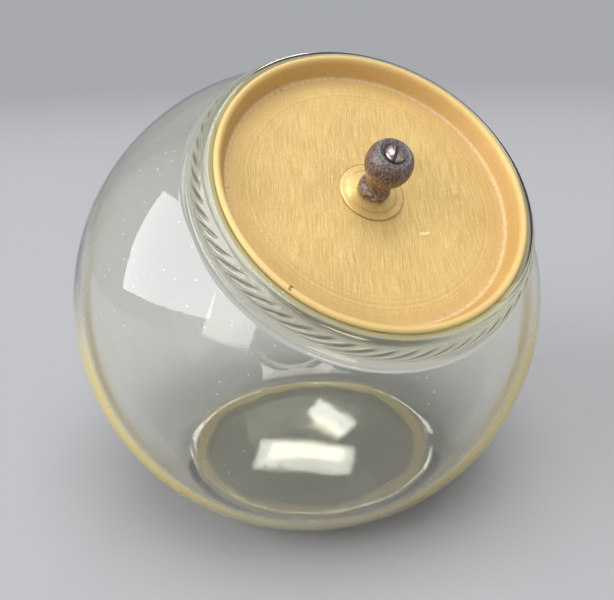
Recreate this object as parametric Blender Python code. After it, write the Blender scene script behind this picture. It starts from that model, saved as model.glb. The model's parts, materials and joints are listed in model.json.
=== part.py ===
"""Slant-mouth glass counter jar with a sunk tin lid and a turned wooden knob.

Metres, +Z up. The origin is the middle of the foot, on the surface the jar stands on. The mouth leans
towards -Y, and the jar is symmetric about the plane x = 0.

Every piece is turned on the mouth's axis except the jar's foot, which is turned on the vertical one. The
jar is one loft of rings, which tilt step by step from the mouth's axis to the vertical.
"""

import math

import bmesh
import bpy
from mathutils import Matrix, Vector

MM = 0.001
GAP = 0.3 * MM  # left between two pieces that touch

# Jar. Heights "along" are measured on the mouth's axis from the globe's centre.
GLOBE_RADIUS = 120 * MM
GLOBE_WALL = 3.6 * MM
GLOBE_CENTRE_HEIGHT = 96.7 * MM
MOUTH_TILT = math.radians(45)
FOOT_THICKNESS = 7.5 * MM
HEEL_RADIUS = 7 * MM  # outer rounding between foot and globe
FLOOR_CORNER_RADIUS = 20 * MM  # inner rounding between floor and globe
BORE_RADIUS = 64.2 * MM
THROAT_RADIUS = 6 * MM  # inner rounding between mouth and globe
LIP_CREST_RADIUS = 68.9 * MM  # where the lip is highest, from the mouth's axis
LIP_CREST_ALONG = 106.7 * MM
LIP_HEIGHT = 3.3 * MM
LIP_OUTER_WIDTH = 3.6 * MM
COLLAR_FOOT_RADIUS = 75.2 * MM
COLLAR_RIDGE_RADIUS = 1.0 * MM
COLLAR_BULGE = 1.3 * MM  # how far the rope band stands out from a straight line

# Lid
SHEET = 0.6 * MM
LID_FLOOR_ALONG = 99.7 * MM
LID_FLOOR_RADIUS = 56 * MM  # the flat part
LID_COVE = Vector((60.6, 100.1)) * MM  # where the shallow cove meets the wall's corner
LID_WALL_FOOT = Vector((62.0, 101.2)) * MM
LID_WALL_TOP = Vector((64.0, 106.8)) * MM
RIM_CENTRE = Vector((65.4, 107.5)) * MM
RIM_RADIUS = 1.4 * MM

# Knob and its fixings
SCREW_RADIUS = 1.75 * MM
HOLE_RADIUS = SCREW_RADIUS + GAP
ROSETTE_RADIUS = 14 * MM
ROSETTE_RISE = 0.3 * MM
KNOB_HEIGHT = 24.5 * MM
KNOB_BEAD_RADIUS = 6.8 * MM
KNOB_BEAD_HEIGHT = 4.4 * MM
KNOB_WAIST_RADIUS = 5.0 * MM
KNOB_WAIST_HEIGHT = 6.6 * MM  # of the waist's narrowest ring above the knob's base
KNOB_HEAD_RADIUS = 9.6 * MM
KNOB_HEAD_HEIGHT = 17.6 * MM  # of the ball's widest ring above the knob's base
KNOB_CROWN_RISE = 9.5 * MM  # half height of the ellipse that the top of the head follows
KNOB_RIM_RADIUS = 6.4 * MM  # crest round the dished top
KNOB_SEAT_RADIUS = 4.6 * MM  # seat of the screw's head at the bottom of the dish
KNOB_SEAT_DEPTH = 1.2 * MM
SCREW_HEAD_RADIUS = 4.2 * MM
SCREW_HEAD_HEIGHT = 2.3 * MM
SLOT_WIDTH = 1.3 * MM
SLOT_DEPTH = 1.3 * MM
SLOT_TURN = math.radians(56)  # of the slot about the mouth's axis, from +X
WASHER_RADIUS = 5.5 * MM
WASHER_THICKNESS = 0.8 * MM
NUT_WIDTH = 7 * MM
NUT_THICKNESS = 2.8 * MM
SCREW_END = 2 * MM  # length that shows below the nut

SEGMENTS = 48  # round the mouth, for the jar and the lid alike
SMALL_SEGMENTS = 24

GLOBE_CENTRE = Vector((0, 0, GLOBE_CENTRE_HEIGHT))


def clear_scene():
    for found in list(bpy.data.objects):
        bpy.data.objects.remove(found)


def finish_material(name, colour, roughness, metallic=0.0, transmission=0.0):
    material = bpy.data.materials.new(name)
    material.use_nodes = True
    shader = material.node_tree.nodes["Principled BSDF"]
    shader.inputs["Base Color"].default_value = (*colour, 1)
    shader.inputs["Roughness"].default_value = roughness
    shader.inputs["Metallic"].default_value = metallic
    shader.inputs["Transmission Weight"].default_value = transmission
    return material


def place(name, mesh, material, parent=None):
    """An object for the mesh, smooth but for its sharp edges."""
    mesh.materials.append(material)
    mesh.shade_smooth()
    mesh.set_sharp_from_angle(angle=math.radians(35))
    piece = bpy.data.objects.new(name, mesh)
    bpy.context.scene.collection.objects.link(piece)
    piece.parent = parent
    return piece


def arc(centre, radii, start, end, steps):
    """Points of an elliptical arc, with angles in degrees from the +r direction. Both ends are included."""
    angles = [math.radians(start + (end - start) * i / steps) for i in range(steps + 1)]
    return [
        Vector((centre[0] + radii[0] * math.cos(a), centre[1] + radii[1] * math.sin(a)))
        for a in angles
    ]


def mouth_axis(tilt):
    return Vector((0, -math.sin(tilt), math.cos(tilt)))


def ring_points(tilt, along, radius, segments):
    """A ring whose axis leans by tilt, at a distance along that axis from the globe's centre."""
    axis = mouth_axis(tilt)
    side = Vector((1, 0, 0))
    up = axis.cross(side)
    turns = [2 * math.pi * i / segments for i in range(segments)]
    return [
        GLOBE_CENTRE + axis * along + radius * (side * math.cos(a) + up * math.sin(a))
        for a in turns
    ]


def loft(name, rings, closed):
    """A mesh through the rings. A closed loft joins its last ring to its first, an open one is capped."""
    bm = bmesh.new()
    loops = [[bm.verts.new(p) for p in ring] for ring in rings]
    pairs = list(zip(loops, loops[1:]))
    if closed:
        pairs.append((loops[-1], loops[0]))
    else:
        bm.faces.new(loops[0])
        bm.faces.new(loops[-1])
    for low, high in pairs:
        for i in range(len(low)):
            bm.faces.new((low[i - 1], low[i], high[i], high[i - 1]))
    bmesh.ops.recalc_face_normals(bm, faces=bm.faces)
    mesh = bpy.data.meshes.new(name)
    bm.to_mesh(mesh)
    bm.free()
    return mesh


def turned(name, outline, segments, closed=True):
    """A mesh turned about its own Z axis from an outline of (radius, height) points."""
    rings = []
    for radius, height in outline:
        turns = [2 * math.pi * i / segments for i in range(segments)]
        rings.append([Vector((radius * math.cos(a), radius * math.sin(a), height)) for a in turns])
    return loft(name, rings, closed)


def globe_rings(radius, mouth_angle, foot_angle, steps):
    """Rings of a sphere between the mouth and the foot. Each is (tilt, along, radius).

    mouth_angle is measured from the mouth's axis and foot_angle from straight up, both at the globe's
    centre. Between them the axis swings upright while the rings open, so that no two rings cross.
    """
    rings = []
    for i in range(steps + 1):
        share = i / steps
        angle = mouth_angle + (foot_angle - mouth_angle) * share
        tilt = MOUTH_TILT * (1 - share)
        rings.append((tilt, radius * math.cos(angle), radius * math.sin(angle)))
    return rings


def corner_on_sphere(sphere_radius, plane_depth, corner_radius):
    """Centre (radius, along) of a corner arc inside a sphere, between it and a level plane below."""
    along = corner_radius - plane_depth
    reach = sphere_radius - corner_radius
    return Vector((math.sqrt(reach**2 - along**2), along))


def foot_corner(sphere_radius, plane_depth, corner_radius, steps):
    """The corner's rings from the sphere down to the plane, and its angle from straight up."""
    centre = corner_on_sphere(sphere_radius, plane_depth, corner_radius)
    start = math.degrees(math.atan2(centre.y, centre.x))
    points = arc(centre, (corner_radius, corner_radius), start, -90, steps)
    return [(0, p.y, p.x) for p in points[1:]], math.radians(90 - start)


def jar_outline_of_mouth():
    """Outline (radius, along) of collar and lip, from the globe's outside over the lip to its inside."""
    foot_along = math.sqrt(GLOBE_RADIUS**2 - COLLAR_FOOT_RADIUS**2)
    ridge_centre = (COLLAR_FOOT_RADIUS - 0.2 * MM, foot_along + COLLAR_RIDGE_RADIUS)
    ridge = arc(ridge_centre, (COLLAR_RIDGE_RADIUS, COLLAR_RIDGE_RADIUS), -50, 60, 2)
    lip_centre = (LIP_CREST_RADIUS, LIP_CREST_ALONG - LIP_HEIGHT)
    lip_outside = arc(lip_centre, (LIP_OUTER_WIDTH, LIP_HEIGHT), 30, 90, 3)
    lip_inside = arc(lip_centre, (LIP_CREST_RADIUS - BORE_RADIUS, LIP_HEIGHT), 90, 180, 4)
    band_start, band_end = ridge[-1], lip_outside[0]
    run = band_end - band_start
    outward = Vector((run.y, -run.x)).normalized()
    band = [
        band_start + run * s + outward * COLLAR_BULGE * math.sin(math.pi * s)
        for s in (0.25, 0.5, 0.75)
    ]
    return ridge + band + lip_outside + lip_inside[1:]


def throat_corner():
    """Rings of the rounding between bore and inner globe, and its angle from the mouth's axis."""
    inner = GLOBE_RADIUS - GLOBE_WALL
    centre_radius = BORE_RADIUS + THROAT_RADIUS
    centre_along = math.sqrt((inner + THROAT_RADIUS) ** 2 - centre_radius**2)
    end = 180 + math.degrees(math.atan2(centre_along, centre_radius))
    points = arc((centre_radius, centre_along), (THROAT_RADIUS, THROAT_RADIUS), 180, end, 3)
    angle = math.atan2(centre_radius, centre_along)
    return [(MOUTH_TILT, p.y, p.x) for p in points[:-1]], angle


def make_jar():
    inner = GLOBE_RADIUS - GLOBE_WALL
    heel, heel_angle = foot_corner(GLOBE_RADIUS, GLOBE_CENTRE_HEIGHT, HEEL_RADIUS, 3)
    floor_depth = GLOBE_CENTRE_HEIGHT - FOOT_THICKNESS
    floor, floor_angle = foot_corner(inner, floor_depth, FLOOR_CORNER_RADIUS, 4)
    collar_angle = math.asin(COLLAR_FOOT_RADIUS / GLOBE_RADIUS)
    outside = globe_rings(GLOBE_RADIUS, collar_angle, heel_angle, 14)
    throat, throat_angle = throat_corner()
    inside = globe_rings(inner, throat_angle, floor_angle, 12)
    mouth = [(MOUTH_TILT, p.y, p.x) for p in jar_outline_of_mouth()]
    rings = heel[::-1] + outside[::-1] + mouth + throat + inside + floor
    mesh = loft("jar_body", [ring_points(*ring, SEGMENTS) for ring in rings], closed=False)
    glass = finish_material("clear_glass", (0.88, 0.89, 0.80), 0.02, transmission=1.0)
    return place("jar_body", mesh, glass)


def make_lid_axis():
    """The lid's empty, at the globe's centre with its Z on the mouth's axis, so that heights are 'along'."""
    axis = bpy.data.objects.new("lid_axis", None)
    axis.location = GLOBE_CENTRE
    axis.rotation_euler = (MOUTH_TILT, 0, 0)
    bpy.context.scene.collection.objects.link(axis)
    return axis


def make_lid_pan(axis, paint):
    floor_top = LID_FLOOR_ALONG
    top = [
        Vector((HOLE_RADIUS, floor_top)),
        Vector((LID_FLOOR_RADIUS, floor_top)),
        LID_COVE,
        LID_WALL_FOOT,
        LID_WALL_TOP,
    ]
    rim = arc(RIM_CENTRE, (RIM_RADIUS, RIM_RADIUS), 170, -125, 8)
    under = [
        LID_WALL_FOOT + Vector((SHEET, -0.2 * SHEET)),
        LID_COVE + Vector((0.5 * SHEET, -0.9 * SHEET)),
        Vector((LID_FLOOR_RADIUS, floor_top - SHEET)),
        Vector((HOLE_RADIUS, floor_top - SHEET)),
    ]
    mesh = turned("lid_pan", top + rim + under, SEGMENTS)
    return place("lid_pan", mesh, paint, axis)


def make_rosette(axis, material):
    """Thin dished plate, flat at its edge and raised in the middle."""
    low = LID_FLOOR_ALONG + GAP
    crown = low + ROSETTE_RISE
    outline = [
        Vector((HOLE_RADIUS, crown)),
        Vector((HOLE_RADIUS, crown + SHEET)),
        Vector((0.5 * ROSETTE_RADIUS, crown + SHEET)),
        Vector((0.8 * ROSETTE_RADIUS, low + SHEET)),
        Vector((ROSETTE_RADIUS - 0.3 * MM, low + SHEET)),
        Vector((ROSETTE_RADIUS, low + 0.5 * SHEET)),
        Vector((ROSETTE_RADIUS, low)),
        Vector((0.8 * ROSETTE_RADIUS, low)),
        Vector((0.5 * ROSETTE_RADIUS, crown)),
    ]
    mesh = turned("knob_rosette", outline, SEGMENTS)
    place("knob_rosette", mesh, material, axis)
    return crown + SHEET


def make_knob(axis, base, material):
    """Turned knob: bead foot, waist, pear-shaped head with a dished top, and a bore right through."""
    half_bead = KNOB_BEAD_HEIGHT / 2
    bead_centre = (KNOB_BEAD_RADIUS - half_bead, base + half_bead)
    bead = arc(bead_centre, (half_bead, half_bead), -90, 75, 5)
    waist_height = base + KNOB_WAIST_HEIGHT
    head_centre = base + KNOB_HEAD_HEIGHT
    seat_floor = base + KNOB_HEIGHT - KNOB_SEAT_DEPTH
    flare = []
    for i in range(6):
        share = i / 5
        ease = share * share * (3 - 2 * share)
        radius = KNOB_WAIST_RADIUS + (KNOB_HEAD_RADIUS - KNOB_WAIST_RADIUS) * ease
        flare.append(Vector((radius, waist_height + (head_centre - waist_height) * share)))
    crown = arc((0, head_centre), (KNOB_HEAD_RADIUS, KNOB_CROWN_RISE), 12, 42, 3)
    outline = [Vector((HOLE_RADIUS, base))] + bead + flare + crown
    outline.append(Vector((KNOB_RIM_RADIUS, base + KNOB_HEIGHT)))
    outline.append(Vector((KNOB_RIM_RADIUS - 0.9 * MM, base + KNOB_HEIGHT - 0.35 * MM)))
    outline.append(Vector((KNOB_SEAT_RADIUS, seat_floor)))
    outline.append(Vector((HOLE_RADIUS, seat_floor)))
    mesh = turned("knob", outline, SMALL_SEGMENTS)
    place("knob", mesh, material, axis)
    return seat_floor


def make_screw(axis, head_base, tip, material):
    """Slotted round-head screw. The slot is cut by a Boolean modifier."""
    dome = arc((0, head_base), (SCREW_HEAD_RADIUS, SCREW_HEAD_HEIGHT), 0, 80, 6)
    outline = dome[::-1]
    outline.append(Vector((SCREW_RADIUS, head_base)))
    outline.append(Vector((SCREW_RADIUS, tip + 0.5 * MM)))
    outline.append(Vector((SCREW_RADIUS - 0.5 * MM, tip)))
    screw = place("knob_screw", turned("knob_screw", outline, SMALL_SEGMENTS, False), material, axis)

    bm = bmesh.new()
    size = (4 * SCREW_HEAD_RADIUS, SLOT_WIDTH, 2 * SLOT_DEPTH)
    bmesh.ops.create_cube(bm, size=1, matrix=Matrix.Diagonal((*size, 1)))
    slot_mesh = bpy.data.meshes.new("slot_cutter")
    bm.to_mesh(slot_mesh)
    bm.free()
    cutter = bpy.data.objects.new("slot_cutter", slot_mesh)
    bpy.context.scene.collection.objects.link(cutter)
    cutter.parent = axis
    cutter.location = (0, 0, head_base + SCREW_HEAD_HEIGHT)
    cutter.rotation_euler = (0, 0, SLOT_TURN)
    cutter.hide_render = True
    cutter.display_type = "WIRE"
    slot = screw.modifiers.new("slot", "BOOLEAN")
    slot.operation = "DIFFERENCE"
    slot.solver = "EXACT"
    slot.object = cutter


def make_washer(axis, top, material):
    low = top - WASHER_THICKNESS
    outline = [
        Vector((HOLE_RADIUS, top)),
        Vector((WASHER_RADIUS, top)),
        Vector((WASHER_RADIUS, low)),
        Vector((HOLE_RADIUS, low)),
    ]
    place("lid_washer", turned("lid_washer", outline, SMALL_SEGMENTS), material, axis)
    return low


def make_nut(axis, top, material):
    """Square nut with a round bore and corners chamfered on its lower face."""
    half = NUT_WIDTH / 2
    chamfer = 0.5 * MM
    outline = [
        (HOLE_RADIUS, 0),
        (half, 0),
        (half, chamfer - NUT_THICKNESS),
        (half - chamfer, -NUT_THICKNESS),
        (HOLE_RADIUS, -NUT_THICKNESS),
    ]
    rings = []
    for radius, height in outline:
        ring = []
        for i in range(SMALL_SEGMENTS):
            a = 2 * math.pi * i / SMALL_SEGMENTS
            round_ring = radius <= HOLE_RADIUS
            reach = radius if round_ring else radius / max(abs(math.cos(a)), abs(math.sin(a)))
            ring.append(Vector((reach * math.cos(a), reach * math.sin(a), top + height)))
        rings.append(ring)
    place("lid_nut", loft("lid_nut", rings, closed=True), material, axis)
    return top - NUT_THICKNESS


def make_lid():
    gold_paint = finish_material("gold_paint", (0.72, 0.50, 0.20), 0.42, metallic=0.6)
    rosette_gold = finish_material("rosette_gold", (0.76, 0.55, 0.24), 0.3, metallic=0.7)
    dark_wood = finish_material("dark_wood", (0.13, 0.075, 0.055), 0.45)
    old_steel = finish_material("old_steel", (0.46, 0.40, 0.37), 0.4, metallic=1.0)

    axis = make_lid_axis()
    make_lid_pan(axis, gold_paint)
    knob_base = make_rosette(axis, rosette_gold) + GAP
    seat = make_knob(axis, knob_base, dark_wood)
    washer_low = make_washer(axis, LID_FLOOR_ALONG - SHEET - GAP, old_steel)
    nut_low = make_nut(axis, washer_low - GAP, old_steel)
    make_screw(axis, seat + GAP, nut_low - SCREW_END, old_steel)


def main():
    clear_scene()
    make_jar()
    make_lid()


main()
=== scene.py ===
"""Looks of the slant-mouth glass counter jar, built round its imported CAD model.

Metres, +Z up. Every turned piece is made in the mouth's own frame: z runs along the mouth's axis from the
globe's centre, and x is the part's x. Patterns read the vertex attribute "place", which holds that frame's
coordinates, so that they stay on the piece whatever moves it. The glass also reads "upright", the part's
own coordinates, and "groove", which is 1 at the bottom of a groove between two flutes.
"""

import json
import math

import bmesh
import bpy
from mathutils import Matrix, Vector, noise


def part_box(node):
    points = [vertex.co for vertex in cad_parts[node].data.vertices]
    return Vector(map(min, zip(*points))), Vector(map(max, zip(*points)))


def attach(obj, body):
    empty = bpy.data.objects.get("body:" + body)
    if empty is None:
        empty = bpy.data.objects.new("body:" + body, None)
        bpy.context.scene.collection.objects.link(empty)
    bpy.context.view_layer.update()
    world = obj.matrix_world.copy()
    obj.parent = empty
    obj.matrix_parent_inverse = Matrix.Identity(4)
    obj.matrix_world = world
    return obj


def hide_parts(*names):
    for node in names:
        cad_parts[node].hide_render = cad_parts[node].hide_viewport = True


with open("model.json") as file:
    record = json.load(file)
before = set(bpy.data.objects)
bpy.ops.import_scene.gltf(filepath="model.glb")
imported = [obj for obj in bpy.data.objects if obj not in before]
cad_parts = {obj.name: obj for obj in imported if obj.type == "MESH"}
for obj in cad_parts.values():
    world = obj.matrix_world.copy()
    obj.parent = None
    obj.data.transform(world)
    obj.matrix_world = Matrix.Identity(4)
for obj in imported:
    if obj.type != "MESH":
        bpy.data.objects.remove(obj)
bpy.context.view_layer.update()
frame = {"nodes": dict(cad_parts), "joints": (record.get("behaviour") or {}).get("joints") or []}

MM = 0.001

# The mouth's frame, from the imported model. The lid is symmetric about the mouth's axis, which runs through
# the globe's centre, and that centre is over the middle of the foot.
MOUTH_AXIS = Vector(frame["joints"][0]["axis"]).normalized()
MOUTH_TILT = math.acos(MOUTH_AXIS.z)
lid_points = [v.co for v in frame["nodes"]["lid_pan"].data.vertices]
lid_middle = sum(lid_points, Vector()) / len(lid_points)
GLOBE_CENTRE = lid_middle - MOUTH_AXIS * (lid_middle.y / MOUTH_AXIS.y)
GLOBE_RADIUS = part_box("jar_body")[1].x
MOUTH_FRAME = Matrix.Translation(GLOBE_CENTRE) @ Matrix.Rotation(MOUTH_TILT, 4, "X")

# Jar, as in the CAD model where nothing else is said
GLOBE_WALL = 3.6 * MM
LOW_WALL_EXTRA = 0.3 * MM  # by which the wall is thicker where it meets the floor, only here
FOOT_THICKNESS = 7.5 * MM
HEEL_RADIUS = 7 * MM
FLOOR_CORNER_RADIUS = 20 * MM
BORE_RADIUS = 64.2 * MM
THROAT_RADIUS = 6 * MM
LIP_CREST_RADIUS = 68.9 * MM
LIP_CREST_ALONG = 106.7 * MM
LIP_HEIGHT = 3.3 * MM
LIP_OUTER_WIDTH = 3.5 * MM  # a little under the CAD model's, to stay inside its box
COLLAR_FOOT_RADIUS = 75.2 * MM
COLLAR_RIDGE_RADIUS = 1.0 * MM

# Jar, only here: in CAD the rope band is a plain swelling and the foot is flat
FLUTES = 56
FLUTE_DEPTH = 1.0 * MM
FLUTE_LEAN = 1.8  # flute pitches that one flute runs round the mouth on its way up
FLUTE_START = 0.34  # share of the collar's height that is plain below the flutes
COLUMNS_PER_FLUTE = 8
FOOT_RECESS = 0.9 * MM
FLOOR_CROWN = 0.4 * MM
CAP_RADIUS = 12 * MM  # of the face that closes the foot, and of the one that closes the floor
OUTSIDE_STEPS = 60
INSIDE_STEPS = 52
OUTSIDE_WOBBLE = 0.25 * MM
INSIDE_WOBBLE = 0.5 * MM

# Lid and screw, as in the CAD model apart from the thread, which is only here
SHEET = 0.6 * MM
LID_FLOOR_ALONG = 99.7 * MM
LID_FLOOR_RADIUS = 56 * MM
RIM_CENTRE = Vector((65.4, 107.5)) * MM
RIM_RADIUS = 1.4 * MM
HOLE_RADIUS = 2.05 * MM
KNOB_BASE_ALONG = LID_FLOOR_ALONG + 1.5 * MM
KNOB_SEAT_HEIGHT = 23.2 * MM  # of the screw's seat in the knob's dish
SCREW_RADIUS = 1.75 * MM
THREAD_DEPTH = 0.3 * MM
THREAD_PITCH = 0.6 * MM
SCREW_TIP_DEPTH = 6.6 * MM  # of the screw's end below the lid's floor
SLOT_TURN = math.radians(56)  # of the screw's slot about the mouth's axis, from +X
SLOT_WIDTH = 1.3 * MM


# Wear on the lid's paint: (place in the mouth's frame, size, length along x over size, colour, strength)
PAINT_MARKS = (
    ((-52.2 * MM, -39.4 * MM, 108.4 * MM), 1.0 * MM, 1.0, (0.10, 0.05, 0.03, 1), 0.85),
    ((38.8 * MM, -7.6 * MM, LID_FLOOR_ALONG), 1.8 * MM, 1.0, (0.46, 0.28, 0.09, 1), 0.5),
    ((16.1 * MM, -22.7 * MM, LID_FLOOR_ALONG), 0.7 * MM, 4.5, (0.95, 0.78, 0.48, 1), 0.7),
)


# ---------------------------------------------------------------- meshes


def arc(centre, radii, start, end, steps):
    """Points of an elliptical arc, with angles in degrees from the +r direction. Both ends are included."""
    angles = [math.radians(start + (end - start) * i / steps) for i in range(steps + 1)]
    return [
        Vector((centre[0] + radii[0] * math.cos(a), centre[1] + radii[1] * math.sin(a)))
        for a in angles
    ]


def smooth_line(points, steps):
    """A Catmull-Rom curve through (radius, height) points, with so many steps between two of them."""
    ends = [points[0] * 2 - points[1]] + list(points) + [points[-1] * 2 - points[-2]]
    line = []
    for a, b, c, d in zip(ends, ends[1:], ends[2:], ends[3:]):
        for i in range(steps):
            t = i / steps
            line.append(
                0.5 * (2 * b + (c - a) * t + (2 * a - 5 * b + 4 * c - d) * t * t
                       + (3 * b - a - 3 * c + d) * t**3)
            )
    return line + [points[-1]]


def ease(share):
    share = min(1.0, max(0.0, share))
    return share * share * (3 - 2 * share)


def loft(name, rings, closed):
    """An object through rings of points.

    A closed loft joins its last ring to its first, and an open one is capped.
    """
    bm = bmesh.new()
    loops = [[bm.verts.new(p) for p in ring] for ring in rings]
    pairs = list(zip(loops, loops[1:]))
    if closed:
        pairs.append((loops[-1], loops[0]))
    else:
        bm.faces.new(loops[0])
        bm.faces.new(loops[-1])
    for low, high in pairs:
        for i in range(len(low)):
            bm.faces.new((low[i - 1], low[i], high[i], high[i - 1]))
    bmesh.ops.recalc_face_normals(bm, faces=bm.faces)
    mesh = bpy.data.meshes.new(name)
    bm.to_mesh(mesh)
    bm.free()
    piece = bpy.data.objects.new(name, mesh)
    bpy.context.scene.collection.objects.link(piece)
    return piece


def turned(name, outline, segments, closed=True, shift=None):
    """A piece turned about the mouth's axis. shift(point) moves a point in the mouth's frame."""
    rings = []
    for radius, height in outline:
        ring = []
        for i in range(segments):
            a = 2 * math.pi * i / segments
            point = Vector((radius * math.cos(a), radius * math.sin(a), height))
            ring.append(MOUTH_FRAME @ (shift(point) if shift else point))
        rings.append(ring)
    return loft(name, rings, closed)


def finish_piece(piece, body, slot, material, *nodes, sharp=40, upright=False):
    """Shading, pattern coordinates, material and the frame's bookkeeping for one piece."""
    mesh = piece.data
    mesh.shade_smooth()
    mesh.set_sharp_from_angle(angle=math.radians(sharp))
    to_mouth = MOUTH_FRAME.inverted()
    place = mesh.attributes.new("place", "FLOAT_VECTOR", "POINT")
    for vertex, item in zip(mesh.vertices, place.data):
        item.vector = to_mouth @ vertex.co
    mesh.materials.append(material)
    if upright:
        spots = mesh.attributes.new("upright", "FLOAT_VECTOR", "POINT")
        for vertex, item in zip(mesh.vertices, spots.data):
            item.vector = vertex.co
    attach(piece, body)
    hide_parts(*nodes)


# ---------------------------------------------------------------- glass jar


def globe_rings(radius, mouth_angle, foot_angle, steps):
    """Rings (tilt, along, radius) of a sphere, which swing from the mouth's axis to the vertical."""
    rings = []
    for i in range(steps + 1):
        share = i / steps
        angle = mouth_angle + (foot_angle - mouth_angle) * share
        rings.append((MOUTH_TILT * (1 - share), radius * math.cos(angle), radius * math.sin(angle)))
    return rings


def foot_corner(sphere_radius, plane_depth, corner_radius, steps):
    """The rings from a sphere down to a level plane, and their first angle from straight up."""
    along = corner_radius - plane_depth
    centre = Vector((math.sqrt((sphere_radius - corner_radius) ** 2 - along**2), along))
    start = math.degrees(math.atan2(centre.y, centre.x))
    points = arc(centre, (corner_radius, corner_radius), start, -90, steps)
    return [(0, p.y, p.x) for p in points[1:]], math.radians(90 - start)


def level_rings(outer_radius, inner_radius, height, rise, steps):
    """Level rings from outer_radius in to inner_radius, crowned by rise in the middle."""
    rings = []
    for i in range(1, steps + 1):
        radius = outer_radius + (inner_radius - outer_radius) * i / steps
        crown = rise * (1 - (radius / outer_radius) ** 2) ** 2
        rings.append((0, height + crown, radius))
    return rings


def collar_outline():
    """(point, flute's outward reach, share of the flute's run) from the globe over the collar and lip."""
    foot_along = math.sqrt(GLOBE_RADIUS**2 - COLLAR_FOOT_RADIUS**2)
    ridge_centre = (COLLAR_FOOT_RADIUS - 0.2 * MM, foot_along + COLLAR_RIDGE_RADIUS)
    ridge = arc(ridge_centre, (COLLAR_RIDGE_RADIUS, COLLAR_RIDGE_RADIUS), -50, 60, 8)
    lip_centre = (LIP_CREST_RADIUS, LIP_CREST_ALONG - LIP_HEIGHT)
    lip_outside = arc(lip_centre, (LIP_OUTER_WIDTH, LIP_HEIGHT), 30, 90, 10)
    lip_inside = arc(lip_centre, (LIP_CREST_RADIUS - BORE_RADIUS, LIP_HEIGHT), 90, 180, 14)
    start, end = ridge[-1], lip_outside[0]
    run = end - start
    outward = Vector((run.y, -run.x)).normalized()
    steps = 30
    outline = [(p, 0, 0) for p in ridge[:-1]]
    for i in range(steps):
        share = i / steps
        climb = max(0.0, (share - FLUTE_START) / (1 - FLUTE_START))
        swell = math.sin(math.pi * climb)
        outline.append((start + run * share, FLUTE_DEPTH * swell**0.7, climb))
    outline += [(p, 0, 1) for p in lip_outside + lip_inside[1:]]
    return [(p, outward * depth, share) for p, depth, share in outline]


def throat_corner(steps):
    """Rings that round the bore into the globe's inside, and the angle from the mouth's axis they end at."""
    inner = GLOBE_RADIUS - GLOBE_WALL
    centre_radius = BORE_RADIUS + THROAT_RADIUS
    centre_along = math.sqrt((inner + THROAT_RADIUS) ** 2 - centre_radius**2)
    end = 180 + math.degrees(math.atan2(centre_along, centre_radius))
    points = arc((centre_radius, centre_along), (THROAT_RADIUS, THROAT_RADIUS), 180, end, steps)
    return [(MOUTH_TILT, p.y, p.x) for p in points[:-1]], math.atan2(centre_radius, centre_along)


def wobble(point, amount):
    """Moves a point of the globe towards its centre by up to amount, for the unevenness of moulded glass."""
    spoke = point - GLOBE_CENTRE
    share = 0.5 + 0.5 * noise.noise(spoke * 28)
    return point - spoke.normalized() * amount * share


def ring_points(tilt, along, radius, turn=0.0, flute=None):
    """A ring whose axis leans by tilt. flute is how far each flute's crest stands out, as (out, along)."""
    axis = Vector((0, -math.sin(tilt), math.cos(tilt)))
    side = Vector((1, 0, 0))
    up = axis.cross(side)
    points = []
    for i in range(FLUTES * COLUMNS_PER_FLUTE):
        a = 2 * math.pi * i / (FLUTES * COLUMNS_PER_FLUTE) + turn
        r, h = radius, along
        if flute:
            across = (i % COLUMNS_PER_FLUTE) / COLUMNS_PER_FLUTE
            crown = 1 - abs(2 * across - 1) ** 2.2
            r += flute.x * crown
            h += flute.y * crown
        points.append(GLOBE_CENTRE + axis * h + r * (side * math.cos(a) + up * math.sin(a)))
    return points


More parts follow.
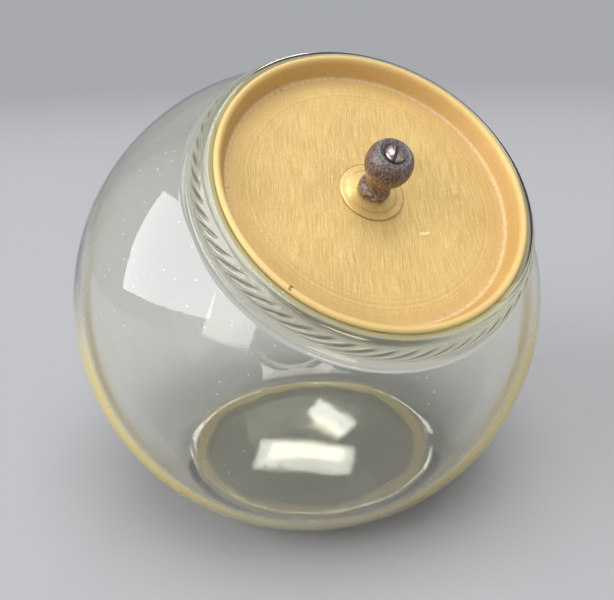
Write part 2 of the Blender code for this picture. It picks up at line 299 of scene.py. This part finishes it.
def make_jar(material):
    inner = GLOBE_RADIUS - GLOBE_WALL
    centre_height = GLOBE_CENTRE.z
    heel, heel_angle = foot_corner(GLOBE_RADIUS, centre_height, HEEL_RADIUS, 8)
    floor_depth = centre_height - FOOT_THICKNESS
    floor, floor_angle = foot_corner(inner - LOW_WALL_EXTRA, floor_depth, FLOOR_CORNER_RADIUS, 14)
    foot = level_rings(heel[-1][2], CAP_RADIUS, -centre_height, FOOT_RECESS, 10)
    floor_flat = level_rings(floor[-1][2], CAP_RADIUS, -floor_depth, FLOOR_CROWN, 8)
    collar_angle = math.asin(COLLAR_FOOT_RADIUS / GLOBE_RADIUS)
    outside = globe_rings(GLOBE_RADIUS, collar_angle, heel_angle, OUTSIDE_STEPS)
    throat, throat_angle = throat_corner(6)
    inside = globe_rings(inner, throat_angle, floor_angle, INSIDE_STEPS)

    rings = [ring_points(*r) for r in foot[::-1] + heel[::-1]]
    depths = [0] * (len(rings) + len(outside))
    for i, ring in enumerate(outside[::-1]):
        fade = math.sin(math.pi * i / OUTSIDE_STEPS)
        rings.append([wobble(p, OUTSIDE_WOBBLE * fade) for p in ring_points(*ring)])
    full_turn = 2 * math.pi / FLUTES * FLUTE_LEAN
    for point, flute, share in collar_outline():
        rings.append(ring_points(MOUTH_TILT, point.y, point.x, full_turn * share, flute))
        depths.append(flute.length)
    rings += [ring_points(*r, full_turn) for r in throat]
    for i, ring in enumerate(inside):
        share = i / INSIDE_STEPS
        fade = math.sin(math.pi * share)
        turn = full_turn * (1 - ease(share))
        shrink = 1 - LOW_WALL_EXTRA * ease(2 * share - 1) / inner
        tilt, along, radius = ring
        points = ring_points(tilt, along * shrink, radius * shrink, turn)
        rings.append([wobble(p, INSIDE_WOBBLE * fade) for p in points])
    rings += [ring_points(*r) for r in floor + floor_flat]
    depths += [0] * (len(rings) - len(depths))
    jar = loft("glass_jar", rings, closed=False)
    finish_piece(jar, "jar", "clear_glass", material, "jar_body", sharp=180, upright=True)
    # How deep in a groove between two flutes each point is, from 0 to 1, for the painted shade in the
    # grooves
    columns = FLUTES * COLUMNS_PER_FLUTE
    groove = jar.data.attributes.new("groove", "FLOAT", "POINT")
    for number, item in enumerate(groove.data):
        across = number % columns % COLUMNS_PER_FLUTE / COLUMNS_PER_FLUTE
        item.value = depths[number // columns] / FLUTE_DEPTH * abs(2 * across - 1) ** 2.2


# ---------------------------------------------------------------- lid


def make_lid(material):
    floor = LID_FLOOR_ALONG
    corner = [
        Vector((LID_FLOOR_RADIUS, floor)),
        Vector((59.4 * MM, floor + 0.06 * MM)),
        Vector((61.0 * MM, floor + 0.3 * MM)),
        Vector((61.7 * MM, floor + 0.8 * MM)),
        Vector((62.05 * MM, floor + 1.8 * MM)),
        Vector((63.0 * MM, floor + 4.6 * MM)),
        Vector((63.75 * MM, floor + 6.7 * MM)),
        Vector((63.95 * MM, floor + 7.4 * MM)),
    ]
    disc = [Vector((HOLE_RADIUS + (LID_FLOOR_RADIUS - HOLE_RADIUS) * i / 14, floor)) for i in range(14)]
    inside = disc + smooth_line(corner, 4)
    rim = arc(RIM_CENTRE, (RIM_RADIUS, RIM_RADIUS), 175, -125, 22)
    below = [
        Vector((63.75 * MM, floor + 5.4 * MM)),
        Vector((62.75 * MM, floor + 1.7 * MM)),
        Vector((62.1 * MM, floor + 0.3 * MM)),
        Vector((60.9 * MM, floor - 0.3 * MM)),
        Vector((LID_FLOOR_RADIUS, floor - SHEET)),
    ]
    outline = inside + rim + smooth_line(below, 3) + [p - Vector((0, SHEET)) for p in disc[::-1]]

    def dent(point):
        flat = Vector((point.x, point.y, 0))
        edge = 1 - ease((flat.length - 50 * MM) / (8 * MM))
        middle = ease((flat.length - 14 * MM) / (10 * MM))
        point.z += 0.12 * MM * noise.noise(flat * 45) * edge * middle
        return point

    lid = turned("gold_lid", outline, 256, shift=dent)
    finish_piece(lid, "lid", "gold_paint", material, "lid_pan", sharp=50)


def make_rosette(material):
    low = LID_FLOOR_ALONG + 0.3 * MM
    radius = 14 * MM
    top = [
        Vector((HOLE_RADIUS, low + 0.95 * MM)),
        Vector((6.0 * MM, low + 0.90 * MM)),
        Vector((8.4 * MM, low + 0.76 * MM)),
        Vector((10.2 * MM, low + 0.62 * MM)),
        Vector((11.2 * MM, low + 0.50 * MM)),
        Vector((12.2 * MM, low + 0.44 * MM)),
        Vector((13.4 * MM, low + 0.38 * MM)),
        Vector((radius, low + 0.2 * MM)),
    ]
    under = [Vector((radius - 0.1 * MM, low)), Vector((HOLE_RADIUS, low))]
    rosette = turned("rosette_plate", smooth_line(top, 5) + under, 128)
    finish_piece(rosette, "lid", "rosette_gold", material, "knob_rosette", sharp=60)


def make_knob(material):
    base = KNOB_BASE_ALONG
    outline = [Vector((HOLE_RADIUS, base))]
    shape = [
        (5.4, 0.0), (6.4, 0.5), (6.9, 1.6), (6.8, 2.8), (6.2, 4.0), (5.4, 4.9), (5.05, 5.8),
        (5.1, 6.8), (5.5, 8.0), (6.5, 9.7), (7.8, 11.6), (8.9, 13.8), (9.55, 16.2), (9.7, 18.2),
        (9.45, 20.3), (8.8, 22.2), (7.8, 23.7), (6.9, 24.4), (6.2, 24.5), (5.5, 24.1),
        (4.9, 23.6), (4.4, 23.3),
    ]
    outline += smooth_line([Vector((r * MM, base + h * MM)) for r, h in shape], 3)
    outline.append(Vector((HOLE_RADIUS, base + KNOB_SEAT_HEIGHT)))

    def dings(point):
        spoke = Vector((point.x, point.y, 0))
        if spoke.length > 3 * MM:
            point -= spoke.normalized() * 0.12 * MM * (0.5 + 0.5 * noise.noise(point * 420))
        return point

    knob = turned("turned_knob", outline, 96, shift=dings)
    finish_piece(knob, "lid", "dark_wood", material, "knob", sharp=60)


def make_screw(material):
    """Slotted round-head screw with a threaded end. The slot is cut by a Boolean."""
    head_base = KNOB_BASE_ALONG + KNOB_SEAT_HEIGHT + 0.3 * MM
    head_radius, head_height = 4.2 * MM, 2.4 * MM
    tip = LID_FLOOR_ALONG - SCREW_TIP_DEPTH
    dome = arc((0, head_base + 0.25 * MM), (head_radius, head_height - 0.25 * MM), 0, 86, 14)
    outline = dome[::-1]
    outline += [Vector((head_radius - 0.1 * MM, head_base)), Vector((SCREW_RADIUS, head_base))]
    thread_top = LID_FLOOR_ALONG - 1 * MM
    turns = int((thread_top - tip) / THREAD_PITCH)
    for i in range(turns):
        height = thread_top - i * THREAD_PITCH
        outline.append(Vector((SCREW_RADIUS, height)))
        outline.append(Vector((SCREW_RADIUS - THREAD_DEPTH, height - THREAD_PITCH / 2)))
    outline.append(Vector((1.2 * MM, tip)))
    screw = turned("slotted_screw", outline, 48, closed=False)

    bm = bmesh.new()
    size = (4 * head_radius, SLOT_WIDTH, 2.6 * MM)
    bmesh.ops.create_cube(bm, size=1, matrix=Matrix.Diagonal((*size, 1)))
    cutter_mesh = bpy.data.meshes.new("slot_cutter")
    bm.to_mesh(cutter_mesh)
    bm.free()
    cutter = bpy.data.objects.new("slot_cutter", cutter_mesh)
    bpy.context.scene.collection.objects.link(cutter)
    place = Matrix.Translation((0, 0, head_base + head_height))
    cutter.matrix_world = MOUTH_FRAME @ place @ Matrix.Rotation(SLOT_TURN, 4, "Z")
    bpy.context.view_layer.update()
    slot = screw.modifiers.new("slot", "BOOLEAN")
    slot.operation = "DIFFERENCE"
    slot.solver = "EXACT"
    slot.object = cutter
    depsgraph = bpy.context.evaluated_depsgraph_get()
    cut = bpy.data.meshes.new_from_object(screw.evaluated_get(depsgraph))
    screw.modifiers.clear()
    screw.data = cut
    bpy.data.objects.remove(cutter)
    finish_piece(screw, "lid", "screw_steel", material, "knob_screw", sharp=35)


# ---------------------------------------------------------------- materials


def new_node(tree, kind, sockets=None, **settings):
    made = tree.nodes.new("ShaderNode" + kind)
    for key, value in settings.items():
        setattr(made, key, value)
    for key, value in (sockets or {}).items():
        if isinstance(value, bpy.types.NodeSocket):
            tree.links.new(value, made.inputs[key])
        else:
            made.inputs[key].default_value = value
    return made


def calculate(tree, operation, a, b=0.0, clamp=False):
    return new_node(tree, "Math", {0: a, 1: b}, operation=operation, use_clamp=clamp).outputs[0]


def mixed(tree, factor, a, b, blend="MIX"):
    """The colour a turned into b by factor."""
    sockets = {0: factor, 6: a, 7: b}
    made = new_node(tree, "Mix", sockets, data_type="RGBA", blend_type=blend, clamp_factor=True)
    return made.outputs[2]


def ramp(tree, value, low, high, to_low=0.0, to_high=1.0):
    sockets = {0: value, 1: low, 2: high, 3: to_low, 4: to_high}
    made = new_node(tree, "MapRange", sockets, interpolation_type="SMOOTHSTEP", clamp=True)
    return made.outputs[0]


def between(tree, value, start, full, fade, end):
    """1 from full to fade, 0 below start and above end."""
    rise = ramp(tree, value, start, full)
    fall = ramp(tree, value, fade, end, 1.0, 0.0)
    return calculate(tree, "MULTIPLY", rise, fall)


def cloud(tree, vector, scale, detail=4.0, roughness=0.55, stretch=None, turn=0.0):
    """Noise, stretched along an axis if asked, about 0.5 in the mean."""
    if stretch:
        sockets = {"Vector": vector, "Rotation": (0, 0, turn), "Scale": [1 / s for s in stretch]}
        vector = new_node(tree, "Mapping", sockets, vector_type="TEXTURE").outputs[0]
    sockets = {"Vector": vector, "Scale": scale, "Detail": detail, "Roughness": roughness}
    return new_node(tree, "TexNoise", sockets).outputs["Fac"]


def start_material(name, carried=False):
    """(material, tree, shader, place, radius from the mouth's axis, place split into x, y and z).

    The floor and a carried CAD node have no "place" attribute, so with carried they read the object's own
    coordinates, and radius is then the distance from the object's z axis.
    """
    material = bpy.data.materials.new(name)
    material.use_nodes = True
    tree = material.node_tree
    shader = tree.nodes["Principled BSDF"]
    if carried:
        place = new_node(tree, "TexCoord").outputs["Object"]
    else:
        place = new_node(tree, "Attribute", attribute_name="place").outputs["Vector"]
    split = new_node(tree, "SeparateXYZ", {0: place})
    flat = new_node(tree, "CombineXYZ", {0: split.outputs[0], 1: split.outputs[1]}).outputs[0]
    radius = new_node(tree, "VectorMath", {0: flat}, operation="LENGTH").outputs["Value"]
    return material, tree, shader, place, radius, split


def bump(tree, height, strength, distance, after=None):
    sockets = {"Height": height, "Strength": strength, "Distance": distance}
    if after:
        sockets["Normal"] = after
    return new_node(tree, "Bump", sockets).outputs[0]


def glass_material():
    """Clear glass, olive yellow at the low globe's edge, the foot's corner and the bore: a painted glow on
    the edge, the thick corner's own yellow with a painted glow, and a painted reflection of the gold lid in
    the bore; also a painted reflection of the lid on the rope band and painted shade in the grooves between
    flutes.
    """
    material, tree, shader, place, radius, split = start_material("clear_glass")
    spot = new_node(tree, "Attribute", attribute_name="upright").outputs["Vector"]
    upright = new_node(tree, "SeparateXYZ", {0: spot})
    flat = new_node(tree, "CombineXYZ", {0: upright.outputs[0], 1: upright.outputs[1]}).outputs[0]
    foot_radius = new_node(tree, "VectorMath", {0: flat}, operation="LENGTH").outputs["Value"]
    height = upright.outputs[2]
    # Painted glow: the low globe turns yellow, and partly diffuse further down, where it is seen edge-on. It
    # follows the viewing angle.
    facing = new_node(tree, "LayerWeight", {"Blend": 0.5}).outputs["Facing"]
    low = between(tree, height, -8 * MM, 45 * MM, 85 * MM, 135 * MM)
    edge = calculate(tree, "MULTIPLY", ramp(tree, facing, 0.69, 0.78), low)
    tint_and_painted_light = mixed(tree, edge, (1, 1, 1, 1), (0.84, 0.64, 0.10, 1))
    # The foot's thick corner: the yellow of the thick glass, with a painted glow from the diffuse part it is
    # given below.
    waver = ramp(tree, cloud(tree, spot, 24, 2), 0.3, 0.7, -2.5 * MM, 2.5 * MM)
    wavy_radius = calculate(tree, "ADD", foot_radius, waver)
    on_corner = between(tree, wavy_radius, 60 * MM, 64 * MM, 67 * MM, 73 * MM)
    near_floor = between(tree, height, 5 * MM, 7 * MM, 13 * MM, 22 * MM)
    corner = calculate(tree, "MULTIPLY", on_corner, near_floor)
    tint_and_painted_light = mixed(tree, calculate(tree, "MULTIPLY", corner, 0.8), tint_and_painted_light, (0.90, 0.72, 0.22, 1))
    axial = split.outputs[2]
    # Painted reflection of the gold lid: the rope band and the lip's outside tinted yellowish grey.
    rope_reflection = calculate(
        tree, "MULTIPLY", ramp(tree, radius, 70 * MM, 72 * MM), ramp(tree, axial, 94 * MM, 96 * MM)
    )
    tint_and_painted_light = mixed(tree, rope_reflection, tint_and_painted_light, (0.86, 0.83, 0.72, 1))
    # Painted shade: the glass near black at the bottom of each groove between flutes.
    groove = new_node(tree, "Attribute", attribute_name="groove").outputs["Fac"]
    tint_and_painted_light = mixed(tree, ramp(tree, groove, 0.08, 0.7), tint_and_painted_light, (0.17, 0.155, 0.10, 1))
    # Painted reflection of the gold lid: the lip's inside and the bore olive and partly diffuse.
    inward = ramp(tree, radius, 68.0 * MM, 69.8 * MM, 1, 0)
    bore_reflection = calculate(tree, "MULTIPLY", inward, ramp(tree, axial, 95 * MM, 100 * MM))
    tint_and_painted_light = mixed(tree, calculate(tree, "MULTIPLY", bore_reflection, 0.85), tint_and_painted_light, (0.48, 0.40, 0.10, 1))
    cells = new_node(tree, "TexVoronoi", {"Vector": spot, "Scale": 300.0})
    some = ramp(tree, cells.outputs["Color"], 0.4, 0.6)
    crowd = calculate(tree, "MULTIPLY", ramp(tree, cloud(tree, spot, 18, 3), 0.42, 0.66), some)
    seeds = calculate(tree, "MULTIPLY", ramp(tree, cells.outputs["Distance"], 0.07, 0.19, 1, 0), crowd)
    tint_and_painted_light = mixed(tree, seeds, tint_and_painted_light, (1, 1, 1, 1))
    tree.links.new(tint_and_painted_light, shader.inputs["Base Color"])
    # The seeds, and the painted glow and reflections above, take light off transmission and give the glass a
    # diffuse part there.
    seeds_and_painted_light = calculate(tree, "MULTIPLY", seeds, 0.35)
    for zone, share in ((bore_reflection, 0.6), (corner, 0.4), (edge, 0.62)):
        seeds_and_painted_light = calculate(tree, "ADD", seeds_and_painted_light, calculate(tree, "MULTIPLY", zone, share))
    clear = calculate(tree, "SUBTRACT", 1.0, seeds_and_painted_light, clamp=True)
    tree.links.new(clear, shader.inputs["Transmission Weight"])
    shader.inputs["IOR"].default_value = 1.51
    smear = cloud(tree, place, 35, 3)
    tree.links.new(ramp(tree, smear, 0.62, 0.85, 0.0, 0.05), shader.inputs["Roughness"])
    waves = cloud(tree, spot, 60, 2)
    relief = bump(tree, waves, 0.1, 0.3 * MM)
    tree.links.new(bump(tree, cloud(tree, spot, 1100, 2), 0.06, 0.08 * MM, relief), shader.inputs["Normal"])
    sockets = {"Color": (0.86, 0.84, 0.20, 1), "Density": 20.0}
    body = new_node(tree, "VolumeAbsorption", sockets)
    tree.links.new(body.outputs[0], tree.nodes["Material Output"].inputs["Volume"])
    return material


def gold_material():
    material, tree, shader, place, radius, split = start_material("gold_paint")
    height = split.outputs[2]
    sway = cloud(tree, place, 25, 2)
    bent = new_node(tree, "CombineXYZ", {0: ramp(tree, sway, 0.2, 0.8, -1.5 * MM, 1.5 * MM)}).outputs[0]
    bent = new_node(tree, "VectorMath", {0: place, 1: bent}, operation="ADD").outputs[0]
    long_strokes = cloud(tree, bent, 1.0, 6, 0.7, stretch=(1900, 80, 80), turn=math.radians(-17))
    round_strokes = cloud(tree, new_node(tree, "CombineXYZ", {0: radius}).outputs[0], 900, 4, 0.7)
    by_rim = ramp(tree, radius, 40 * MM, 54 * MM, 0.0, 0.6)
    strokes = new_node(tree, "Mix", {0: by_rim, 2: long_strokes, 3: round_strokes}).outputs[0]
    grain = cloud(tree, place, 1700, 3, 0.6)
    worn = cloud(tree, place, 800, 4, 0.6)
    patches = cloud(tree, place, 32, 4, 0.6)
    paint = mixed(tree, ramp(tree, patches, 0.3, 0.7), (0.58, 0.375, 0.115, 1), (0.68, 0.46, 0.155, 1))
    paint = mixed(tree, ramp(tree, strokes, 0.42, 0.64, 0.0, 0.6), paint, (0.90, 0.69, 0.30, 1))
    paint = mixed(tree, ramp(tree, strokes, 0.30, 0.46, 0.35, 0.0), paint, (0.40, 0.24, 0.07, 1))
    crossing = cloud(tree, place, 1.0, 5, 0.7, stretch=(1100, 90, 90), turn=math.radians(38))
    paint = mixed(tree, ramp(tree, crossing, 0.56, 0.7, 0.0, 0.35), paint, (0.92, 0.72, 0.33, 1))
    paint = mixed(tree, ramp(tree, grain, 0.35, 0.65, 0.0, 0.3), paint, (0.46, 0.29, 0.09, 1))
    # Painted shade: a darker band in the cove between the lid's floor and wall.
    cove_shade = between(tree, radius, 54 * MM, 58 * MM, 61.5 * MM, 62.6 * MM)
    paint = mixed(tree, calculate(tree, "MULTIPLY", cove_shade, 0.5), paint, (0.60, 0.39, 0.15, 1))
    pale_ring = between(tree, radius, 60.0 * MM, 60.5 * MM, 61.2 * MM, 61.7 * MM)
    crumbly = calculate(tree, "MULTIPLY", pale_ring, ramp(tree, worn, 0.4, 0.6, 0.1, 0.6))
    paint = mixed(tree, crumbly, paint, (0.80, 0.60, 0.45, 1))
    floor = LID_FLOOR_ALONG
    # Painted shade: the recess wall darker and more orange than the lid's floor.
    wall_shade = between(tree, height, floor + 0.8 * MM, floor + 2 * MM, floor + 6.4 * MM, floor + 7.6 * MM)
    paint = mixed(tree, calculate(tree, "MULTIPLY", wall_shade, 0.7), paint, (0.60, 0.365, 0.12, 1))
    # Painted highlight: the rolled rim lighter than the lid's floor.
    rim_highlight = ramp(tree, height, floor + 6.8 * MM, floor + 8.2 * MM)
    paint = mixed(tree, calculate(tree, "MULTIPLY", rim_highlight, 0.7), paint, (0.78, 0.56, 0.22, 1))
    by_foot = between(tree, radius, 58.6 * MM, 60 * MM, 61.8 * MM, 62.8 * MM)
    rust = calculate(tree, "MULTIPLY", by_foot, ramp(tree, cloud(tree, place, 520, 5, 0.7), 0.56, 0.64))
    rust = calculate(tree, "MULTIPLY", rust, ramp(tree, cloud(tree, place, 70, 2), 0.45, 0.6, 0.1, 0.5))
    paint = mixed(tree, rust, paint, (0.26, 0.12, 0.06, 1))
    for mark, size, length, colour, strength in PAINT_MARKS:
        offset = new_node(tree, "VectorMath", {0: place, 1: mark}, operation="SUBTRACT").outputs[0]
        squeeze = (1 / length, 1, 1)
        offset = new_node(tree, "VectorMath", {0: offset, 1: squeeze}, operation="MULTIPLY").outputs[0]
        away = new_node(tree, "VectorMath", {0: offset}, operation="LENGTH").outputs["Value"]
        ragged = calculate(tree, "ADD", away, ramp(tree, worn, 0.3, 0.7, -0.6 * size, 0.6 * size))
        paint = mixed(tree, ramp(tree, ragged, 0.6 * size, size, strength, 0.0), paint, colour)
    tree.links.new(paint, shader.inputs["Base Color"])
    shader.inputs["Metallic"].default_value = 0.16
    tree.links.new(ramp(tree, strokes, 0.3, 0.7, 0.66, 0.52), shader.inputs["Roughness"])
    tree.links.new(bump(tree, strokes, 0.3, 0.1 * MM), shader.inputs["Normal"])
    return material


def rosette_material():
    material, tree, shader, place, radius, _ = start_material("rosette_gold")
    patches = cloud(tree, place, 160, 4, 0.6)
    paint = mixed(tree, ramp(tree, patches, 0.3, 0.7), (0.76, 0.51, 0.17, 1), (0.90, 0.65, 0.26, 1))
    # Painted shade: a thin dark ring where the plate would have a step.
    line = between(tree, radius, 9.9 * MM, 10.3 * MM, 10.9 * MM, 11.3 * MM)
    paint = mixed(tree, calculate(tree, "MULTIPLY", line, 0.4), paint, (0.42, 0.26, 0.09, 1))
    # Painted shade: the plate's outer edge darker, for the shadow gap under it.
    paint = mixed(tree, ramp(tree, radius, 13.3 * MM, 13.8 * MM, 0, 0.8), paint, (0.40, 0.25, 0.10, 1))
    tree.links.new(paint, shader.inputs["Base Color"])
    shader.inputs["Metallic"].default_value = 0.4
    tree.links.new(ramp(tree, patches, 0.3, 0.7, 0.34, 0.20), shader.inputs["Roughness"])
    relief = bump(tree, cloud(tree, place, 330, 3), 0.35, 0.15 * MM)
    tree.links.new(bump(tree, cloud(tree, place, 1400, 3), 0.15, 0.05 * MM, relief), shader.inputs["Normal"])
    return material


def wood_material():
    material, tree, shader, place, radius, split = start_material("dark_wood")
    height = split.outputs[2]
    base = KNOB_BASE_ALONG
    grain = cloud(tree, place, 1.0, 6, 0.7, stretch=(1800, 1800, 420))
    stain = mixed(tree, ramp(tree, grain, 0.40, 0.60), (0.035, 0.022, 0.017, 1), (0.24, 0.155, 0.13, 1))
    worn = cloud(tree, place, 900, 5, 0.7)
    under_head = between(tree, height, base + 4.5 * MM, base + 7 * MM, base + 12 * MM, base + 19 * MM)
    wear = calculate(tree, "MULTIPLY", under_head, ramp(tree, grain, 0.43, 0.56))
    stain = mixed(tree, calculate(tree, "MULTIPLY", wear, 0.9), stain, (0.40, 0.215, 0.09, 1))
    on_bead = ramp(tree, height, base + 4 * MM, base + 5 * MM, 1, 0)
    flecks = calculate(tree, "MULTIPLY", on_bead, ramp(tree, worn, 0.52, 0.6))
    stain = mixed(tree, flecks, stain, (0.42, 0.30, 0.17, 1))
    # Painted sheen: the dished top greyed and bluish, mottled by scuffs.
    dished = ramp(tree, radius, 7.0 * MM, 8.4 * MM, 1, 0)
    on_top = calculate(tree, "MULTIPLY", dished, ramp(tree, height, base + 21 * MM, base + 22 * MM))
    scuffs_and_sheen = mixed(tree, ramp(tree, worn, 0.42, 0.58), (0.06, 0.055, 0.055, 1), (0.20, 0.195, 0.20, 1))
    stain = mixed(tree, calculate(tree, "MULTIPLY", on_top, 0.75), stain, scuffs_and_sheen)
    tree.links.new(stain, shader.inputs["Base Color"])
    tree.links.new(ramp(tree, grain, 0.3, 0.7, 0.29, 0.43), shader.inputs["Roughness"])
    tree.links.new(bump(tree, grain, 0.3, 0.15 * MM), shader.inputs["Normal"])
    return material


def screw_material():
    """Tarnished steel, with the slot coloured dark brown and not metallic."""
    material = steel_material("screw_steel", (0.20, 0.13, 0.115, 1), (0.58, 0.50, 0.48, 1))
    tree = material.node_tree
    shader = tree.nodes["Principled BSDF"]
    place = new_node(tree, "Attribute", attribute_name="place").outputs["Vector"]
    # The slot, a band across the head, is coloured dark brown and made not metallic.
    across = (-math.sin(SLOT_TURN), math.cos(SLOT_TURN), 0)
    offset = new_node(tree, "VectorMath", {0: place, 1: across}, operation="DOT_PRODUCT").outputs["Value"]
    in_slot = ramp(tree, calculate(tree, "ABSOLUTE", offset), 0.45 * SLOT_WIDTH, 0.65 * SLOT_WIDTH, 1, 0)
    steel = shader.inputs["Base Color"].links[0].from_socket
    tree.links.new(mixed(tree, in_slot, steel, (0.07, 0.035, 0.02, 1)), shader.inputs["Base Color"])
    tree.links.new(calculate(tree, "SUBTRACT", 1.0, in_slot), shader.inputs["Metallic"])
    return material


def steel_material(name, dark, bright, carried=False):
    material, tree, shader, place, *_ = start_material(name, carried)
    tarnish = cloud(tree, place, 700, 5, 0.65)
    colour = mixed(tree, ramp(tree, tarnish, 0.35, 0.65), dark, bright)
    tree.links.new(colour, shader.inputs["Base Color"])
    shader.inputs["Metallic"].default_value = 1.0
    tree.links.new(ramp(tree, tarnish, 0.3, 0.7, 0.45, 0.25), shader.inputs["Roughness"])
    tree.links.new(bump(tree, tarnish, 0.2, 0.05 * MM), shader.inputs["Normal"])
    return material


# ---------------------------------------------------------------- studio


CAMERA_AZIMUTH, CAMERA_ELEVATION, CAMERA_ROLL = -23.7, 21.1, -2.08
CAMERA_DISTANCE = 3 * GLOBE_RADIUS
CAMERA_LENS = 38.8
CAMERA_DROP = 1.1 * MM  # of the camera's aim below the globe's centre


def towards(azimuth, elevation):
    """Direction from the jar, with azimuth 0 at -Y and 90 at +X, in degrees."""
    a, e = math.radians(azimuth), math.radians(elevation)
    return Vector((math.sin(a) * math.cos(e), -math.cos(a) * math.cos(e), math.sin(e)))


def make_light(name, azimuth, elevation, width, height, glow, colour=(1, 1, 1), turn=0, distance=8):
    """A soft rectangular lamp facing the jar, width by height degrees as seen from it.

    glow is in W per square metre of the lamp, and turn rolls it in its own plane. Returns the lamp.
    """
    data = bpy.data.lights.new(name, "AREA")
    data.shape = "RECTANGLE"
    data.size = 2 * distance * math.tan(math.radians(width / 2))
    data.size_y = 2 * distance * math.tan(math.radians(height / 2))
    data.energy = glow * data.size * data.size_y
    data.color = colour
    lamp = bpy.data.objects.new(name, data)
    out = towards(azimuth, elevation)
    lamp.location = GLOBE_CENTRE + out * distance
    lamp.rotation_mode = "QUATERNION"
    roll = Matrix.Rotation(math.radians(turn), 3, "Z").to_quaternion()
    lamp.rotation_quaternion = out.to_track_quat("Z", "Y") @ roll
    lamp.visible_camera = False
    bpy.context.scene.collection.objects.link(lamp)
    return lamp


def make_floor():
    """A plain floor that fades into the plain backdrop a few metres from the jar."""
    bpy.ops.mesh.primitive_circle_add(vertices=128, radius=30, fill_type="NGON")
    floor = bpy.context.object
    floor.name = "studio_floor"
    material, tree, shader, _, away, _ = start_material("studio_floor", carried=True)
    shader.inputs["Base Color"].default_value = (0.42, 0.42, 0.43, 1)
    shader.inputs["Roughness"].default_value = 0.9
    shader.inputs["Specular IOR Level"].default_value = 0.2
    clear = new_node(tree, "BsdfTransparent").outputs[0]
    fade = new_node(tree, "MixShader", {0: ramp(tree, away, 0.9, 5.0), 1: shader.outputs[0], 2: clear})
    tree.links.new(fade.outputs[0], tree.nodes["Material Output"].inputs["Surface"])
    floor.data.materials.append(material)


def make_world():
    world = bpy.data.worlds.new("studio")
    bpy.context.scene.world = world
    world.use_nodes = True
    background = world.node_tree.nodes["Background"]
    background.inputs["Color"].default_value = (0.93, 0.96, 1.0, 1)
    background.inputs["Strength"].default_value = 0.42


def make_camera():
    data = bpy.data.cameras.new("camera")
    data.sensor_width = 36
    data.lens = CAMERA_LENS
    camera = bpy.data.objects.new("camera", data)
    out = towards(CAMERA_AZIMUTH, CAMERA_ELEVATION)
    aim = GLOBE_CENTRE - Vector((0, 0, CAMERA_DROP))
    camera.location = aim + out * CAMERA_DISTANCE
    camera.rotation_mode = "QUATERNION"
    roll = Matrix.Rotation(math.radians(CAMERA_ROLL), 3, "Z").to_quaternion()
    camera.rotation_quaternion = out.to_track_quat("Z", "Y") @ roll
    bpy.context.scene.collection.objects.link(camera)
    bpy.context.scene.camera = camera


def make_studio():
    make_floor()
    make_world()
    make_camera()
    # The big window is never seen straight through the glass, where it would burn out the view. A second
    # lamp just behind it only adds to its reflection.
    left_window = (-93.7, 25.3, 51, 37)
    window = make_light("left_window", *left_window, 12.5, (0.95, 0.96, 1.0), turn=4.6)
    window.visible_transmission = False
    sheen = make_light("left_window_sheen", *left_window, 6, (0.95, 0.96, 1.0), turn=4.6, distance=8.1)
    sheen.visible_transmission = False
    sheen.visible_diffuse = False
    make_light("front_window", -58, 9, 22, 22, 9, (1.0, 0.95, 0.93), turn=-14)
    make_light("back_window", 157.4, 34.9, 10.5, 3.6, 28, turn=-9.6)
    make_light("low_back_window", 153.7, 29.4, 5.2, 2.7, 28, turn=-41.6)
    make_light("ceiling", -5, 74, 40, 40, 13.5)
    make_light("room", 35, 12, 70, 40, 1.1, (1.0, 0.97, 0.93))
    view = bpy.context.scene.view_settings
    view.view_transform = "Standard"
    view.look = "None"


make_studio()
make_jar(glass_material())
make_lid(gold_material())
make_rosette(rosette_material())
make_knob(wood_material())
make_screw(screw_material())
plain_steel = steel_material("plain_steel", (0.35, 0.33, 0.30, 1), (0.62, 0.60, 0.57, 1), carried=True)
for name in ("lid_washer", "lid_nut"):
    frame["nodes"][name].material_slots[0].material = plain_steel
